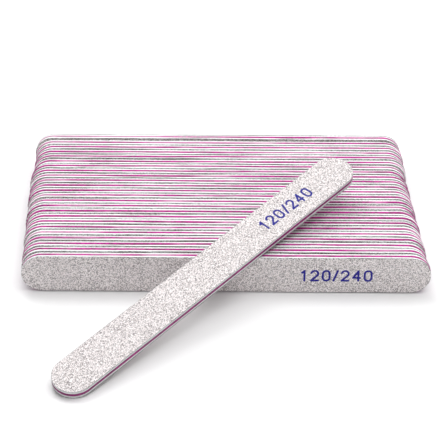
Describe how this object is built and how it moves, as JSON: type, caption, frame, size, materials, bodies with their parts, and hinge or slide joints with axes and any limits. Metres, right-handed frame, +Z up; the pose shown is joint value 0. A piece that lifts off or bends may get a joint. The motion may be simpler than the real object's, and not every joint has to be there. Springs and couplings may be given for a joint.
{
  "type": "nail file pack",
  "caption": "Row of straight double-sided foam nail files standing on edge face to face, with one more file leaning across its front.",
  "frame": {"origin": "middle of the front file's bottom edge, on the surface that the row stands on, at the middle of that file's core board", "axes": "+X along the files' length, to the right; +Y through the row, from the front file to the back file; +Z up"},
  "size_m": [0.1823, 0.1838, 0.0362],
  "materials": {
    "core_board": "matt magenta board, cut edge",
    "foam_pad": "white closed-cell foam, cut edge",
    "abrasive_sheet": "pale grey grit on paper, fine sparkling grain",
    "ink": "flat blue-violet print"
  },
  "bodies": {
    "file_01": {"file_01_core": "core_board", "file_01_foam_front": "foam_pad", "file_01_foam_back": "foam_pad", "file_01_sheet_front": "abrasive_sheet", "file_01_sheet_back": "abrasive_sheet", "file_01_grit_mark": "ink"},
    "file_02": {"file_02_core": "core_board", "file_02_pads": "abrasive_sheet"},
    "file_03": {"file_03_core": "core_board", "file_03_pads": "abrasive_sheet"},
    "file_04": {"file_04_core": "core_board", "file_04_pads": "abrasive_sheet"},
    "file_05": {"file_05_core": "core_board", "file_05_pads": "abrasive_sheet"},
    "file_06": {"file_06_core": "core_board", "file_06_pads": "abrasive_sheet"},
    "file_07": {"file_07_core": "core_board", "file_07_pads": "abrasive_sheet"},
    "file_08": {"file_08_core": "core_board", "file_08_pads": "abrasive_sheet"},
    "file_09": {"file_09_core": "core_board", "file_09_pads": "abrasive_sheet"},
    "file_10": {"file_10_core": "core_board", "file_10_pads": "abrasive_sheet"},
    "file_11": {"file_11_core": "core_board", "file_11_pads": "abrasive_sheet"},
    "file_12": {"file_12_core": "core_board", "file_12_pads": "abrasive_sheet"},
    "file_13": {"file_13_core": "core_board", "file_13_pads": "abrasive_sheet"},
    "file_14": {"file_14_core": "core_board", "file_14_pads": "abrasive_sheet"},
    "file_15": {"file_15_core": "core_board", "file_15_pads": "abrasive_sheet"},
    "file_16": {"file_16_core": "core_board", "file_16_pads": "abrasive_sheet"},
    "file_17": {"file_17_core": "core_board", "file_17_pads": "abrasive_sheet"},
    "file_18": {"file_18_core": "core_board", "file_18_pads": "abrasive_sheet"},
    "file_19": {"file_19_core": "core_board", "file_19_pads": "abrasive_sheet"},
    "file_20": {"file_20_core": "core_board", "file_20_pads": "abrasive_sheet"},
    "file_21": {"file_21_core": "core_board", "file_21_pads": "abrasive_sheet"},
    "file_22": {"file_22_core": "core_board", "file_22_pads": "abrasive_sheet"},
    "file_23": {"file_23_core": "core_board", "file_23_pads": "abrasive_sheet"},
    "file_24": {"file_24_core": "core_board", "file_24_pads": "abrasive_sheet"},
    "leaning_file": {"leaning_file_core": "core_board", "leaning_file_foam_top": "foam_pad", "leaning_file_foam_bottom": "foam_pad", "leaning_file_sheet_top": "abrasive_sheet", "leaning_file_sheet_bottom": "abrasive_sheet", "leaning_file_grit_mark": "ink"}
  },
  "joints": [
    {"name": "file_02_pulls_out", "type": "slide", "parent": "file_01", "child": "file_02", "axis": [1, 0, 0], "range_m": [-0.18, 0.18]},
    {"name": "file_03_pulls_out", "type": "slide", "parent": "file_01", "child": "file_03", "axis": [1, 0, 0], "range_m": [-0.18, 0.18]},
    {"name": "file_04_pulls_out", "type": "slide", "parent": "file_01", "child": "file_04", "axis": [1, 0, 0], "range_m": [-0.18, 0.18]},
    {"name": "file_05_pulls_out", "type": "slide", "parent": "file_01", "child": "file_05", "axis": [1, 0, 0], "range_m": [-0.18, 0.18]},
    {"name": "file_06_pulls_out", "type": "slide", "parent": "file_01", "child": "file_06", "axis": [1, 0, 0], "range_m": [-0.18, 0.18]},
    {"name": "file_07_pulls_out", "type": "slide", "parent": "file_01", "child": "file_07", "axis": [1, 0, 0], "range_m": [-0.18, 0.18]},
    {"name": "file_08_pulls_out", "type": "slide", "parent": "file_01", "child": "file_08", "axis": [1, 0, 0], "range_m": [-0.18, 0.18]},
    {"name": "file_09_pulls_out", "type": "slide", "parent": "file_01", "child": "file_09", "axis": [1, 0, 0], "range_m": [-0.18, 0.18]},
    {"name": "file_10_pulls_out", "type": "slide", "parent": "file_01", "child": "file_10", "axis": [1, 0, 0], "range_m": [-0.18, 0.18]},
    {"name": "file_11_pulls_out", "type": "slide", "parent": "file_01", "child": "file_11", "axis": [1, 0, 0], "range_m": [-0.18, 0.18]},
    {"name": "file_12_pulls_out", "type": "slide", "parent": "file_01", "child": "file_12", "axis": [1, 0, 0], "range_m": [-0.18, 0.18]},
    {"name": "file_13_pulls_out", "type": "slide", "parent": "file_01", "child": "file_13", "axis": [1, 0, 0], "range_m": [-0.18, 0.18]},
    {"name": "file_14_pulls_out", "type": "slide", "parent": "file_01", "child": "file_14", "axis": [1, 0, 0], "range_m": [-0.18, 0.18]},
    {"name": "file_15_pulls_out", "type": "slide", "parent": "file_01", "child": "file_15", "axis": [1, 0, 0], "range_m": [-0.18, 0.18]},
    {"name": "file_16_pulls_out", "type": "slide", "parent": "file_01", "child": "file_16", "axis": [1, 0, 0], "range_m": [-0.18, 0.18]},
    {"name": "file_17_pulls_out", "type": "slide", "parent": "file_01", "child": "file_17", "axis": [1, 0, 0], "range_m": [-0.18, 0.18]},
    {"name": "file_18_pulls_out", "type": "slide", "parent": "file_01", "child": "file_18", "axis": [1, 0, 0], "range_m": [-0.18, 0.18]},
    {"name": "file_19_pulls_out", "type": "slide", "parent": "file_01", "child": "file_19", "axis": [1, 0, 0], "range_m": [-0.18, 0.18]},
    {"name": "file_20_pulls_out", "type": "slide", "parent": "file_01", "child": "file_20", "axis": [1, 0, 0], "range_m": [-0.18, 0.18]},
    {"name": "file_21_pulls_out", "type": "slide", "parent": "file_01", "child": "file_21", "axis": [1, 0, 0], "range_m": [-0.18, 0.18]},
    {"name": "file_22_pulls_out", "type": "slide", "parent": "file_01", "child": "file_22", "axis": [1, 0, 0], "range_m": [-0.18, 0.18]},
    {"name": "file_23_pulls_out", "type": "slide", "parent": "file_01", "child": "file_23", "axis": [1, 0, 0], "range_m": [-0.18, 0.18]},
    {"name": "file_24_pulls_out", "type": "slide", "parent": "file_01", "child": "file_24", "axis": [1, 0, 0], "range_m": [-0.18, 0.18]},
    {"name": "leaning_file_lifts_off", "type": "slide", "parent": "file_01", "child": "leaning_file", "axis": [0, 0, 1], "range_m": [0, 0.06]}
  ]
}
